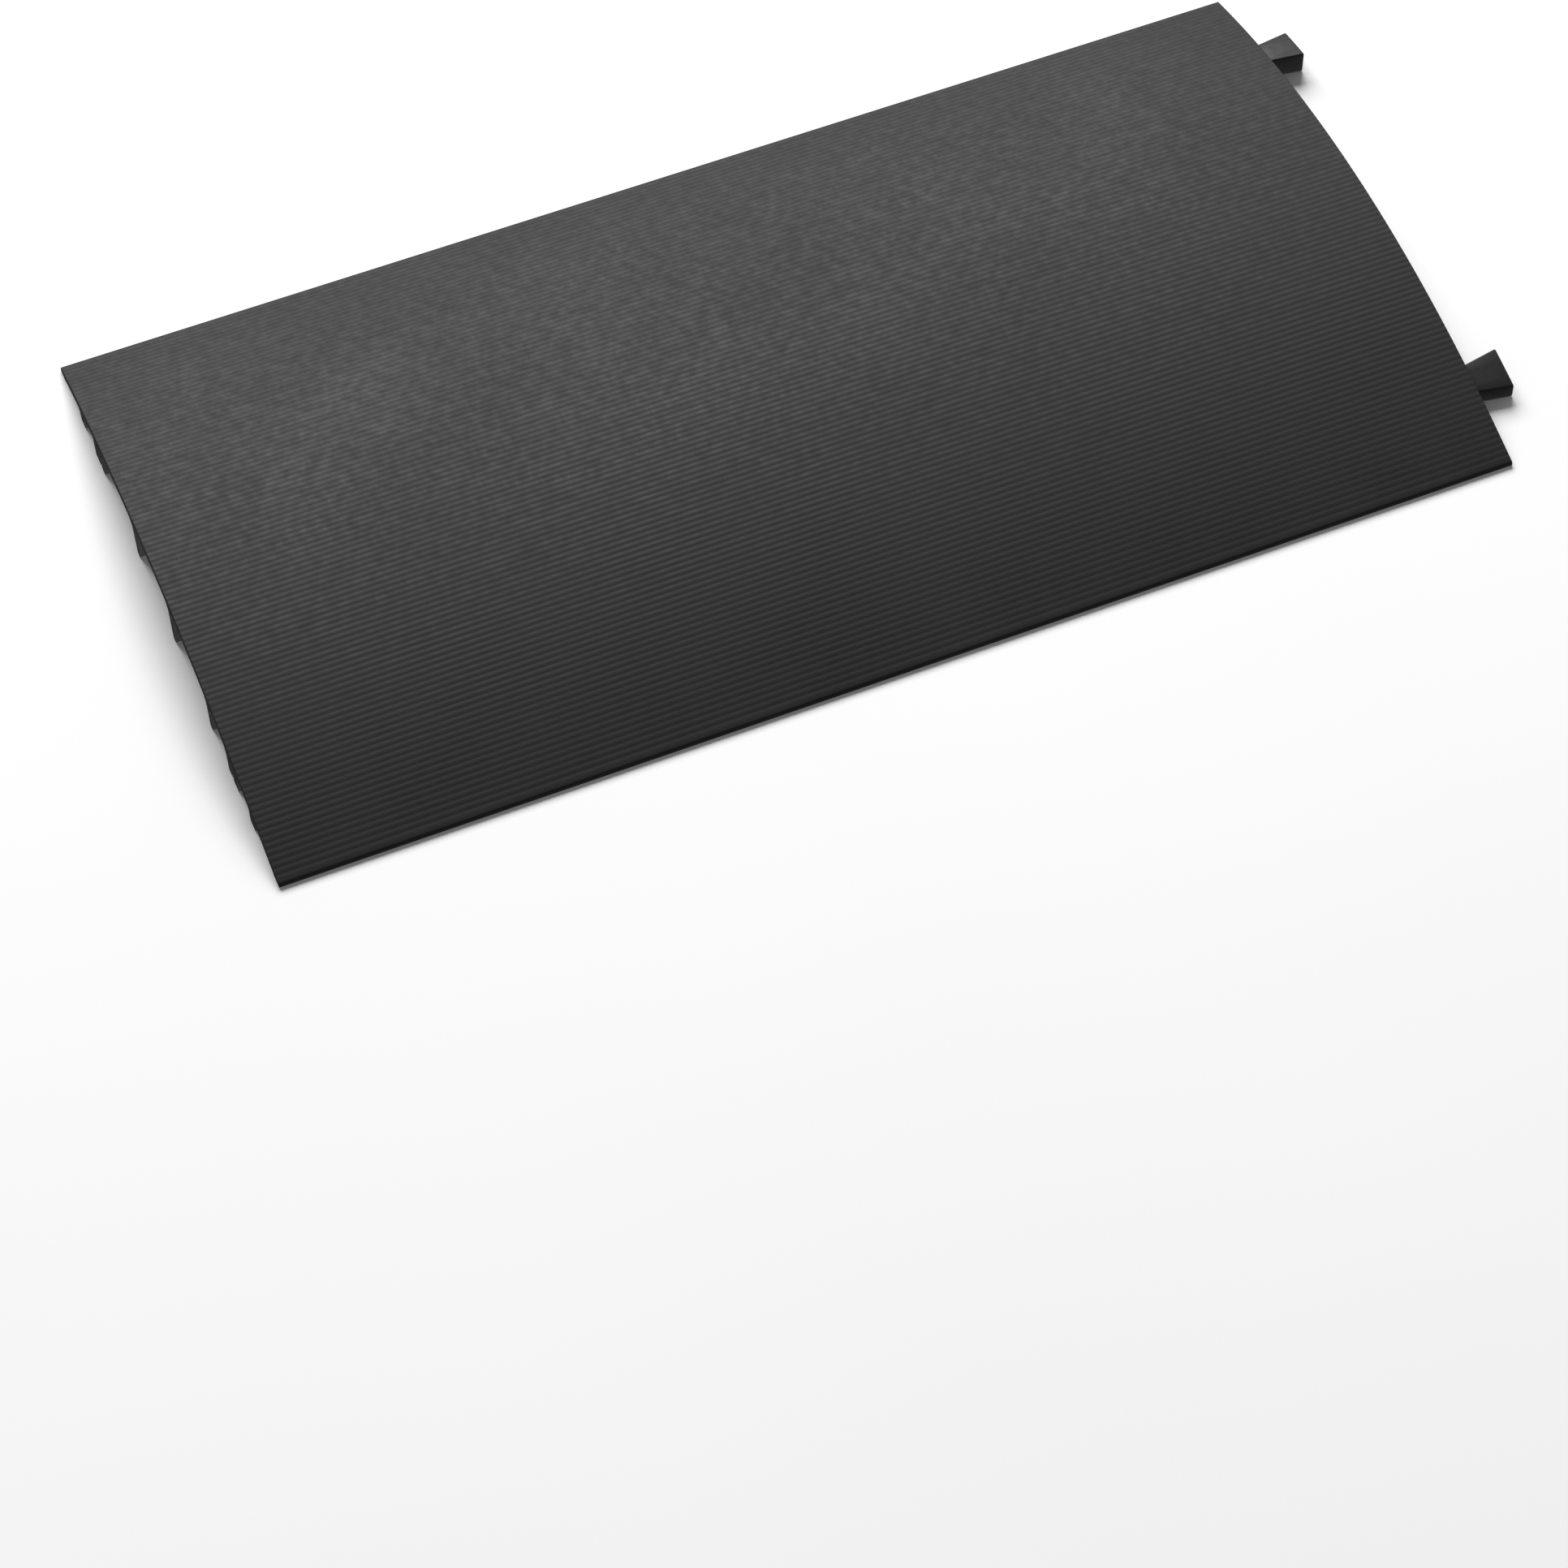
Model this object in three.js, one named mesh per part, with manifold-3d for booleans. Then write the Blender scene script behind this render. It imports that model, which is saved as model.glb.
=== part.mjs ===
// Drop-over cable protector: a low arched ramp that is laid over cables on a floor.
// Its underside has seven cable lanes between two full-length channel walls, kept apart by
// short staggered divider ribs. Gussets carry the two ramp flanks, and dovetail lugs on one end
// drop into pockets on the other end of the next unit.
//
// Millimetres. X runs along the lanes towards the lugs, Y across the ramp, Z up.
// The origin is on the floor, in the middle of the whole footprint with its lugs.

import * as THREE from 'three';
import { mergeVertices } from 'three/addons/utils/BufferGeometryUtils.js';
import Module from 'manifold-3d';

// ---- Deck ----
const DECK_LENGTH = 914; // along the lanes, without the lugs
const FLANK_WIDTH = 101; // from the middle of a channel wall out to the edge of the deck
const CROWN_HEIGHT = 42.5; // top of the arch above the floor
const RIM_HEIGHT = 3.6; // blunt front and back edges
const SKIN = 6.6; // thickness of the arched skin, measured upright
const ARCH_STEPS = 48; // facets across the arch
const RIB_STEPS = 6; // facets along the top of what stands under the arch

// ---- Cable lanes ----
const LANE_COUNT = 7;
const LANE_PITCH = 40; // from one divider row to the next
const WALL_THICKNESS = 6; // full-length channel walls
const RIB_TIP = 5; // divider rib at the floor
const RIB_ROOT = 7; // divider rib under the skin
const COLUMN_COUNT = 8; // divider ribs change rows this many times along the length
const COLUMN_GAP = 8; // free space between the rib ends of neighbouring columns

// ---- Gussets ----
const GUSSET_COUNT = 14; // on each flank, evenly spaced
const GUSSET_FIRST = 51; // middle of the first one from the pocket end
const GUSSET_LAST = 58; // middle of the last one from the lug end
const GUSSET_THICKNESS = 5;
const GUSSET_SETBACK = 19; // from the tip of a gusset to the edge of the deck
const GUSSET_TIP = 1; // height of that tip

// ---- Lugs, pockets and bosses ----
const LUG_STANDOFF = 30; // from the middle of the channel wall to the middle of a lug
const LUG_LENGTH = 29;
const LUG_NECK = 22; // width where it leaves the end rib
const LUG_HEAD = 31.5; // width at its outer end
const LUG_HEADROOM = 0.7; // between the lug and the skin that comes down over it
const END_RIB_THICKNESS = 6;
const POCKET_CLEARANCE = 1.1; // between a lug and its pocket, on each side and at its end
const POCKET_WALL = 5.5;
const BOSS_DIAMETER = 16;
const BOSS_HEIGHT = 11; // down from the skin
const BOSS_STANDOFF = 12; // from the middle of the channel wall to the middle of a boss
const BOSS_SEGMENTS = 20;
const BOSSES = [
  { bay: 8, offset: 6 }, // the bay after the seventh gusset, and how far off its middle
  { bay: 12, offset: -10 },
];

// ---- Fits ----
const SEAM = 0.3; // gap left between two touching solids

const OVERALL_LENGTH = DECK_LENGTH + LUG_LENGTH;
const POCKET_END_X = -OVERALL_LENGTH / 2;
const LUG_END_X = POCKET_END_X + DECK_LENGTH;
const WALL_Y = (LANE_COUNT * LANE_PITCH) / 2;
const WALL_OUTER_Y = WALL_Y + WALL_THICKNESS / 2;
const HALF_WIDTH = WALL_Y + FLANK_WIDTH;
const GUSSET_TIP_Y = HALF_WIDTH - GUSSET_SETBACK;
const GUSSET_PITCH = (DECK_LENGTH - GUSSET_FIRST - GUSSET_LAST) / (GUSSET_COUNT - 1);
const LUG_Y = WALL_Y + LUG_STANDOFF;
const COLUMN_PITCH = DECK_LENGTH / COLUMN_COUNT;

const FLANKS = [
  { name: 'front', side: -1, bosses: [] },
  { name: 'back', side: 1, bosses: BOSSES },
];

const moulded = { color: 0x2b2b2c, roughness: 0.62, metalness: 0 };
const wasm = await Module();
wasm.setup();
const ramp = new THREE.Group();

// Height of the walking surface at y: a flat parabola from rim to rim.
function topHeight(y) {
  const across = y / HALF_WIDTH;
  return RIM_HEIGHT + (CROWN_HEIGHT - RIM_HEIGHT) * (1 - across * across);
}

// Height of the underside at y. Near the rims the skin is solid down to the floor.
function undersideHeight(y) {
  return Math.max(0, topHeight(y) - SKIN);
}

// Highest point at y for a rib that stands under the skin.
function ribTop(y) {
  return undersideHeight(y) - SEAM;
}

// Where the underside comes down to the floor.
function rimInnerY() {
  return HALF_WIDTH * Math.sqrt(1 - (SKIN - RIM_HEIGHT) / (CROWN_HEIGHT - RIM_HEIGHT));
}

// Evenly spaced values from start to end, both included.
function spread(start, end, steps) {
  return Array.from({ length: steps + 1 }, (unused, i) => start + ((end - start) * i) / steps);
}

// A cross-section given as [y, z] points, drawn out along X from x0 to x1.
function alongX(section, x0, x1) {
  const outline = new THREE.Shape(section.map(([y, z]) => new THREE.Vector2(y, z)));
  const geometry = new THREE.ExtrudeGeometry(outline, { depth: x1 - x0, bevelEnabled: false });
  geometry.applyMatrix4(new THREE.Matrix4().makeBasis(
    new THREE.Vector3(0, 1, 0),
    new THREE.Vector3(0, 0, 1),
    new THREE.Vector3(1, 0, 0),
  ));
  geometry.translate(x0, 0, 0);
  return geometry;
}

// A plan outline given as [x, y] points, standing on the floor and higher than the arch.
function upright(plan) {
  const outline = new THREE.Shape(plan.map(([x, y]) => new THREE.Vector2(x, y)));
  return new THREE.ExtrudeGeometry(outline, { depth: CROWN_HEIGHT, bevelEnabled: false });
}

// The space under the skin between two distances across, closed at the floor.
function underArch(y0, y1, headroom) {
  const ceiling = spread(y1, y0, RIB_STEPS).map((y) => [y, undersideHeight(y) - headroom]);
  return [[y0, 0], [y1, 0], ...ceiling];
}

function toSolid(geometry) {
  const bare = geometry.clone();
  bare.deleteAttribute('normal');
  bare.deleteAttribute('uv');
  const merged = mergeVertices(bare, 1e-4);
  return new wasm.Manifold(new wasm.Mesh({
    numProp: 3,
    vertProperties: new Float32Array(merged.attributes.position.array),
    triVerts: new Uint32Array(merged.index.array),
  }));
}

function toGeometry(solid) {
  const mesh = solid.getMesh();
  const geometry = new THREE.BufferGeometry();
  geometry.setAttribute('position', new THREE.BufferAttribute(mesh.vertProperties, 3));
  geometry.setIndex(new THREE.BufferAttribute(mesh.triVerts, 1));
  geometry.computeVertexNormals();
  return geometry;
}

function addNode(name, geometry) {
  const mesh = new THREE.Mesh(geometry, new THREE.MeshStandardMaterial(moulded));
  mesh.name = name;
  ramp.add(mesh);
}

function addDeck() {
  const top = spread(HALF_WIDTH, -HALF_WIDTH, ARCH_STEPS).map((y) => [y, topHeight(y)]);
  const inner = rimInnerY();
  const under = spread(-inner, inner, ARCH_STEPS).map((y) => [y, undersideHeight(y)]);
  const section = [[-HALF_WIDTH, 0], ...under, [HALF_WIDTH, 0], ...top];
  addNode('deck', alongX(section, POCKET_END_X, LUG_END_X));
}

// A straight rib along X, with its own width at the floor and under the skin.
function lengthwiseRib(y, tip, root, x0, x1) {
  const section = [
    [y - tip / 2, 0],
    [y + tip / 2, 0],
    [y + root / 2, ribTop(y + root / 2)],
    [y, ribTop(y)],
    [y - root / 2, ribTop(y - root / 2)],
  ];
  return alongX(section, x0, x1);
}

// Middle of a gusset, counted from 0 at the pocket end.
function gussetX(index) {
  return POCKET_END_X + GUSSET_FIRST + index * GUSSET_PITCH;
}

// A small round stub that stands under the skin and runs into the outer face of the wall.
function boss({ bay, offset }, side) {
  const x = (gussetX(bay - 2) + gussetX(bay - 1)) / 2 + offset;
  const y = side * (WALL_Y + BOSS_STANDOFF);
  const inner = side * WALL_Y;
  const top = ribTop(Math.abs(y) + BOSS_DIAMETER / 2);
  const stub = new THREE.CylinderGeometry(
    BOSS_DIAMETER / 2,
    BOSS_DIAMETER / 2,
    BOSS_HEIGHT,
    BOSS_SEGMENTS,
  );
  stub.rotateX(Math.PI / 2);
  stub.translate(x, y, top - BOSS_HEIGHT / 2);
  const web = new THREE.BoxGeometry(BOSS_DIAMETER / 2, Math.abs(y - inner), BOSS_HEIGHT);
  web.translate(x, (y + inner) / 2, top - BOSS_HEIGHT / 2);
  return toSolid(stub).add(toSolid(web));
}

function addChannelWalls() {
  for (const { name, side, bosses } of FLANKS) {
    const y = side * WALL_Y;
    const rib = lengthwiseRib(y, WALL_THICKNESS, WALL_THICKNESS, POCKET_END_X, LUG_END_X);
    let wall = toSolid(rib);
    for (const place of bosses) {
      wall = wall.add(boss(place, side));
    }
    addNode(`channel_wall_${name}`, toGeometry(wall));
  }
}

// Rows are the lines between lanes. Odd columns use one half of the rows, even columns the other.
function addDividerRibs() {
  const rows = LANE_COUNT - 1;
  for (let column = 0; column < COLUMN_COUNT; column += 1) {
    const isFirst = column === 0;
    const isLast = column === COLUMN_COUNT - 1;
    const x0 = POCKET_END_X + column * COLUMN_PITCH + (isFirst ? 0 : COLUMN_GAP / 2);
    const x1 = POCKET_END_X + (column + 1) * COLUMN_PITCH - (isLast ? 0 : COLUMN_GAP / 2);
    for (let row = column % 2; row < rows; row += 2) {
      const y = (row + 1) * LANE_PITCH - WALL_Y;
      const rib = lengthwiseRib(y, RIB_TIP, RIB_ROOT, x0, x1);
      addNode(`divider_rib_${column + 1}_${row + 1}`, rib);
    }
  }
}

// Section of a flank plate: full height at the channel wall, running out near the rim.
function flankSection(side) {
  const inner = WALL_OUTER_Y + SEAM;
  const ceiling = spread(GUSSET_TIP_Y, inner, RIB_STEPS).map((y) => [side * y, ribTop(y)]);
  const tip = [side * GUSSET_TIP_Y, ribTop(GUSSET_TIP_Y) - GUSSET_TIP];
  return [[side * inner, 0], tip, ...ceiling];
}

function addGussets() {
  for (const { name, side } of FLANKS) {
    const section = flankSection(side);
    for (let i = 0; i < GUSSET_COUNT; i += 1) {
      const x = gussetX(i);
      const gusset = alongX(section, x - GUSSET_THICKNESS / 2, x + GUSSET_THICKNESS / 2);
      const number = String(i + 1).padStart(2, '0');
      addNode(`gusset_${name}_${number}`, gusset);
    }
  }
}

// Plan of a dovetail that starts on an end face at x and widens over its length, grown by a margin.
function dovetailPlan(x, y, length, margin) {
  const neck = LUG_NECK / 2 + margin;
  const head = LUG_HEAD / 2 + margin;
  return [
    [x, y - neck],
    [x + length + margin, y - head],
    [x + length + margin, y + head],
    [x, y + neck],
  ];
}

function addLugEnds() {
  for (const { name, side } of FLANKS) {
    const y = side * LUG_Y;
    const half = LUG_HEAD / 2;
    const room = underArch(y - half, y + half, SEAM + LUG_HEADROOM);
    const outerX = LUG_END_X + LUG_LENGTH;
    const rootX = LUG_END_X - END_RIB_THICKNESS / 2;
    const ceiling = toSolid(alongX(room, rootX, outerX));
    const plan = dovetailPlan(LUG_END_X, y, LUG_LENGTH, 0);
    const root = [[rootX, y + LUG_NECK / 2], [rootX, y - LUG_NECK / 2]];
    const lug = toSolid(upright([...plan, ...root])).intersect(ceiling);
    const endRib = alongX(flankSection(side), LUG_END_X - END_RIB_THICKNESS, LUG_END_X);
    addNode(`lug_end_${name}`, toGeometry(toSolid(endRib).add(lug)));
  }
}

// A pocket is a wall of even thickness round the dovetail, open at the end face and at the floor.
function addPockets() {
  for (const { name, side } of FLANKS) {
    const y = side * LUG_Y;
    const hollow = dovetailPlan(POCKET_END_X, y, LUG_LENGTH, POCKET_CLEARANCE);
    const half = LUG_HEAD / 2 + POCKET_CLEARANCE + POCKET_WALL;
    const depth = LUG_LENGTH + POCKET_CLEARANCE + POCKET_WALL;
    const plan = [
      [POCKET_END_X, y - half],
      [POCKET_END_X + depth, y - half],
      [POCKET_END_X + depth, y + half],
      [POCKET_END_X, y + half],
      ...hollow.slice().reverse(),
    ];
    const room = underArch(y - half, y + half, SEAM);
    const ceiling = toSolid(alongX(room, POCKET_END_X, POCKET_END_X + depth));
    addNode(`lug_pocket_${name}`, toGeometry(toSolid(upright(plan)).intersect(ceiling)));
  }
}

addDeck();
addChannelWalls();
addDividerRibs();
addGussets();
addLugEnds();
addPockets();

export default ramp;
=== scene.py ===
"""Looks of a drop-over cable protector ramp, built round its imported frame.

The real ramp is one black rubber moulding. Each of its features is a piece of its own here:
the arched deck with its fine lengthwise ribs, the channel walls, the divider ribs, the flank
gussets, the end ribs with their dovetail lugs, the lug pockets and two small bosses.

Metres. X runs along the cable lanes towards the lugs, Y across the ramp, Z up. The ramp lies
on the floor at Z = 0.
"""

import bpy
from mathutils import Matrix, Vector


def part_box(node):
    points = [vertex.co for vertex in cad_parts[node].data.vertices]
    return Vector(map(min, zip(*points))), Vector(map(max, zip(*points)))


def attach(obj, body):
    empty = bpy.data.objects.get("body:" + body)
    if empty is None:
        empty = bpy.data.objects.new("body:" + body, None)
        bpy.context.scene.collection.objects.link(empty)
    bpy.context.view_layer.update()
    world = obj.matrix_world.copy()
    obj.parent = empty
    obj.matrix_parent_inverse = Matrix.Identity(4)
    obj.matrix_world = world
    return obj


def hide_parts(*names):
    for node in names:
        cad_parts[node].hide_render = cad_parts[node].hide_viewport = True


bl_info = {
    "name": "Cable protector ramp",
    "version": (1, 0, 0),
    "blender": (4, 5, 0),
    "location": "View3D > Sidebar > Cable Ramp",
    "description": "Moulded deck, ribs, gussets, lugs and pockets of a drop-over cable ramp",
    "category": "Object",
}

import math
from collections import namedtuple

import bmesh
import bpy
from bpy.props import FloatProperty, FloatVectorProperty, IntProperty, PointerProperty
from mathutils import Matrix, Vector

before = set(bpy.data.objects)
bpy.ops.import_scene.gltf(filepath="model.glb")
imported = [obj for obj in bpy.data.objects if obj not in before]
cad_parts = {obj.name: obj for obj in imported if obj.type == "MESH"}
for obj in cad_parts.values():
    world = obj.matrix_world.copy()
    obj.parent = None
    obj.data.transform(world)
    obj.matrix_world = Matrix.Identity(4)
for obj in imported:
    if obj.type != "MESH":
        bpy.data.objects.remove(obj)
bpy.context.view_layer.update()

TOUCH = 1e-5  # closer than this counts as the same place
RUN_ON = 0.0010  # how far a fillet runs on along the skin before its edge is hidden
SINK = 0.00012  # how deep that edge lies inside the skin
EDGE_STEPS = 4  # facets round an edge
FILLET_STEPS = 8  # facets round the fillet under the skin
STRIP = 0.012  # longest stretch across the ramp without a cut, because the skin curves
CORNER_STEPS = 3  # facets round a rounded corner
SHARP_ANGLE = math.radians(38)  # an edge that turns more than this stays sharp
END_GAP = 0.00008  # upstands stop this far inside the deck's end faces
FILLET_LIMIT = 0.62  # the share of an upstand's height that its fillet may take up
TIP_LIMIT = 0.3  # the share of it that the rounding of its tip may take up
INSIDE_FILLET = 0.2  # the share of a pocket's fillet that its inside has room for
PLATE_CORNER = 0.0009  # rounding of the upright corners of gussets and end ribs
CREST_BREADTH = 1.6  # above 1 the grooves are narrower than the crests between them
SIDES = (("front", -1), ("back", 1))

DECK_LOW, DECK_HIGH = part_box("deck")
DECK_POINTS = [v.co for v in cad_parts["deck"].data.vertices]
HALF_WIDTH = DECK_HIGH.y
CROWN = DECK_HIGH.z
RIM = max(p.z for p in DECK_POINTS if p.y > HALF_WIDTH - TOUCH)
SKIN = CROWN - min(p.z for p in DECK_POINTS if abs(p.y) < TOUCH)

# How an upstand is moulded: the radius of its tip's edges and of the corners of its plan, how
# much it widens for each metre of height, and the radius of the fillet under the skin.
Form = namedtuple("Form", "tip_radius corner draft fillet")

BOSS_FORM = Form(0.0012, 0.0, 0.06, 0.003)
BOSS_SEGMENTS = 28
BOSS_LIP = 0.0022  # breadth of the flat ring round a boss's dimple
DIMPLE_SLOPE = 0.0012  # breadth of the dimple's sloping side
DIMPLE_DEPTH = 0.0016
# Each boss lies between two gussets, and this far along X from the middle between them.
BOSSES = (
    ("boss_1", "gusset_back_07", "gusset_back_08", 0.006),
    ("boss_2", "gusset_back_11", "gusset_back_12", -0.010),
)

SHEEN = 0.20  # how strongly the rubber mirrors, where 0.5 is a plain plastic
DECK_SATIN = 0.60  # roughness of the walking surface
RIB_SATIN = 0.50  # roughness of the underside
UNEVENNESS = 1.5  # height of the wide unevenness, in heights of the grain

# Where a lamp stands, and how wide and how deep it is.
Lamp = namedtuple("Lamp", "size place")

BACK_LAMP = Lamp((7.5, 4.8), (0.7, 6.9, 5.8))
UNDER_LAMP = Lamp((1.2, 0.8), (0.1, -0.85, -3.6))
UNDER_FILL = Lamp((3.0, 2.0), (-0.2, 1.6, -3.0))
SENSOR_WIDTH = 36.0  # millimetres
NEAR_CLIP = 0.01
WHITE = (1.0, 1.0, 1.0, 1.0)

# A colour Mix node names its sockets alike for every kind of data, so they go by number.
MIX_FIRST, MIX_SECOND, MIX_RESULT = 6, 7, 2


# ---- Settings ----


class DeckSettings(bpy.types.PropertyGroup):
    rib_pitch: FloatProperty(
        name="Rib pitch", description="From one fine rib of the walking surface to the next",
        default=0.0045, min=0.002, unit="LENGTH", precision=4)
    rib_depth: FloatProperty(
        name="Rib depth", description="Depth of the grooves between the fine ribs",
        default=0.00016, min=0.0, unit="LENGTH", precision=5)
    rib_samples: IntProperty(
        name="Rib samples", description="Facets across one fine rib", default=8, min=4)
    rim_land: FloatProperty(
        name="Rim land", description="Plain strip along the front and back rims",
        default=0.004, min=0.0, unit="LENGTH", precision=4)
    rim_radius: FloatProperty(
        name="Rim radius", description="Rounding of the top edge of the front and back rims",
        default=0.0012, unit="LENGTH", precision=4)
    end_radius: FloatProperty(
        name="End radius", description="Rounding of the deck's edges at its two ends",
        default=0.0007, unit="LENGTH", precision=4)
    bays: IntProperty(
        name="Bays", description="Stretches that the deck's mesh has along its length", default=8)


class RibSettings(bpy.types.PropertyGroup):
    fillet: FloatProperty(
        name="Rib fillet", description="Radius where walls and divider ribs meet the skin",
        default=0.008, unit="LENGTH", precision=4)
    draft: FloatProperty(
        name="Draft", description="How much a side leans out for each metre of its height",
        default=0.025, min=0.0)
    tip_radius: FloatProperty(
        name="Tip radius", description="Rounding of the edges that stand on the floor",
        default=0.0008, unit="LENGTH", precision=4)
    corner: FloatProperty(
        name="Rib corner", description="Rounding of a divider rib's upright corners",
        default=0.0013, unit="LENGTH", precision=4)
    tip_setback: FloatProperty(
        name="Tip setback", description="From the end of a divider rib's solid to its moulded tip",
        default=0.0008, unit="LENGTH", precision=4)
    rib_tip: FloatProperty(
        name="Rib tip", description="Thickness of a divider rib where it stands on the floor",
        default=0.005, unit="LENGTH", precision=4)
    gusset_fillet: FloatProperty(
        name="Gusset fillet", description="Radius where gussets and end ribs meet the skin",
        default=0.0042, unit="LENGTH", precision=4)
    gusset_tip: FloatProperty(
        name="Gusset tip", description="Height left at the outer end of a gusset",
        default=0.003, unit="LENGTH", precision=4)
    gusset_runout: FloatProperty(
        name="Gusset run-out", description="How far short of its solid a gusset's tip ends",
        default=0.003, unit="LENGTH", precision=4)
    wall_overlap: FloatProperty(
        name="Wall overlap", description="How far a gusset runs on into its channel wall",
        default=0.0015, unit="LENGTH", precision=4)


class JoinSettings(bpy.types.PropertyGroup):
    lug_neck: FloatProperty(
        name="Lug neck", description="Width of a dovetail lug where it leaves the end rib",
        default=0.022, unit="LENGTH", precision=4)
    lug_head: FloatProperty(
        name="Lug head", description="Width of a dovetail lug at its outer end",
        default=0.0315, unit="LENGTH", precision=4)
    lug_edge: FloatProperty(
        name="Lug edge", description="Rounding of a lug's edges",
        default=0.0015, unit="LENGTH", precision=4)
    headroom: FloatProperty(
        name="Headroom", description="From the skin's underside down to the top of a lug",
        default=0.001, unit="LENGTH", precision=4)
    clearance: FloatProperty(
        name="Clearance", description="Between a lug and the pocket it fits, on each side",
        default=0.0011, unit="LENGTH", precision=4)
    pocket_fillet: FloatProperty(
        name="Pocket fillet", description="Radius where the outside of a pocket meets the skin",
        default=0.004, unit="LENGTH", precision=4)
    pocket_corner: FloatProperty(
        name="Pocket corner", description="Rounding of a pocket's upright corners",
        default=0.0024, unit="LENGTH", precision=4)
    boss_diameter: FloatProperty(
        name="Boss diameter", description="Width of the two round stubs behind the back wall",
        default=0.0145, unit="LENGTH", precision=4)
    boss_height: FloatProperty(
        name="Boss height", description="How far a boss stands down from the skin",
        default=0.0113, unit="LENGTH", precision=4)
    boss_standoff: FloatProperty(
        name="Boss standoff", description="From the middle of the back wall to a boss",
        default=0.012, unit="LENGTH", precision=4)


class FinishSettings(bpy.types.PropertyGroup):
    deck_colour: FloatVectorProperty(
        name="Deck colour", description="Black rubber of the walking surface",
        subtype="COLOR", size=3, default=(0.0176, 0.0176, 0.0179))
    rib_colour: FloatVectorProperty(
        name="Rib colour", description="Black rubber of the underside",
        subtype="COLOR", size=3, default=(0.0176, 0.0176, 0.0179))
    dust_colour: FloatVectorProperty(
        name="Dust colour", description="Pale bloom that gathers in patches",
        subtype="COLOR", size=3, default=(0.042, 0.0415, 0.040))
    grain_size: FloatProperty(
        name="Grain size", description="Size of the moulded grain",
        default=0.0011, unit="LENGTH", precision=5)
    grain_depth: FloatProperty(
        name="Grain depth", description="Height of the moulded grain",
        default=0.00006, unit="LENGTH", precision=6)


class StageSettings(bpy.types.PropertyGroup):
    floor_size: FloatProperty(
        name="Floor size", description="Side of the square floor", default=30.0, unit="LENGTH")
    floor_gap: FloatProperty(
        name="Floor gap", description="Air under the ramp, so that touching faces don't flicker",
        default=0.0003, unit="LENGTH", precision=5)
    floor_colour: FloatVectorProperty(
        name="Floor colour", description="Plain pale floor",
        subtype="COLOR", size=3, default=(0.88, 0.88, 0.88))
    floor_bounce: FloatProperty(
        name="Floor bounce", description="Share of the light that the floor gives back",
        default=0.25, min=0.0, max=1.0)
    sky: FloatProperty(
        name="Sky", description="Strength of the even light all round", default=0.22, min=0.0)
    backdrop: FloatProperty(
        name="Backdrop", description="How white the studio looks behind the ramp",
        default=0.95, min=0.0)
    back_light: FloatProperty(
        name="Back light", description="Power of the wide lamp behind the ramp",
        default=1400.0, min=0.0, unit="POWER")
    under_light: FloatProperty(
        name="Under light", description="Power of the main lamp under the floor",
        default=850.0, min=0.0, unit="POWER")
    under_fill: FloatProperty(
        name="Under fill", description="Power of the lamp that fills the shadows of the ribs",
        default=130.0, min=0.0, unit="POWER")
    floor_leak: FloatProperty(
        name="Floor leak", description="Share of light from below that the floor lets through "
        "round the deck", default=0.4, min=0.0, max=1.0)
    camera_lens: FloatProperty(
        name="Lens", description="Focal length on a 36 mm sensor", default=109.73,
        unit="CAMERA")
    camera_turn: FloatProperty(
        name="Turn", description="How far the view is turned from across the ramp to its right",
        default=math.radians(21.154), subtype="ANGLE")
    camera_tilt: FloatProperty(
        name="Tilt", description="How far the camera looks down",
        default=math.radians(55.269), subtype="ANGLE")
    camera_roll: FloatProperty(
        name="Roll", description="How far the right of the picture is turned up",
        default=math.radians(-1.444), subtype="ANGLE")
    camera_distance: FloatProperty(
        name="Distance", description="From the camera to the spot on the floor it looks at",
        default=3.20725, unit="LENGTH")
    aim_from_end: FloatProperty(
        name="Aim from end", description="From the pocket end of the deck to that spot",
        default=0.3399, unit="LENGTH")
    aim_before_rim: FloatProperty(
        name="Aim before rim", description="How far that spot lies in front of the front rim",
        default=0.0528, unit="LENGTH")


SETTINGS = {
    "ramp_deck": DeckSettings,
    "ramp_ribs": RibSettings,
    "ramp_joins": JoinSettings,
    "ramp_finish": FinishSettings,
    "ramp_stage": StageSettings,
}


# ---- The arch ----


def top_height(y):
    """Height of the walking surface: a flat parabola from rim to rim."""
    return RIM + (CROWN - RIM) * (1 - (y / HALF_WIDTH) ** 2)


def under_height(y):
    """Height of the skin's underside. Near the rims the skin is solid down to the floor."""
    return max(0.0, top_height(y) - SKIN)


def round_off(inward, radius):
    """How far a rounded edge has dropped at a distance inward from its side."""
    if inward >= radius:
        return 0.0
    return radius - math.sqrt(radius ** 2 - (radius - inward) ** 2)


def edge_stations(radius):
    """Distances inward from a side that follow the rounding of its edge in even turns."""
    turns = [math.pi / 2 * i / EDGE_STEPS for i in range(EDGE_STEPS + 1)]
    return [radius * (1 - math.cos(turn)) for turn in turns]


def between_edges(low, high, radius, inner):
    """Stations from low to high: the rounding of both edges, and the inner ones between them."""
    edge = edge_stations(radius)
    return [low + d for d in edge] + inner + [high - d for d in reversed(edge)]


def even(low, high, steps):
    """Stations from low to high, all the same distance apart."""
    return [low + (high - low) * i / steps for i in range(steps + 1)]


# ---- Meshes and pieces ----


def vertices_of(made):
    return [g for g in made["geom"] if isinstance(g, bmesh.types.BMVert)]


def faces_of(made):
    return [g for g in made["geom"] if isinstance(g, bmesh.types.BMFace)]


def add_object(name, mesh, material):
    data = bpy.data.meshes.new(name)
    mesh.to_mesh(data)
    mesh.free()
    data.shade_smooth()
    data.set_sharp_from_angle(angle=SHARP_ANGLE)
    data.materials.append(material)
    made = bpy.data.objects.new(name, data)
    bpy.context.scene.collection.objects.link(made)
    return made


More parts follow.
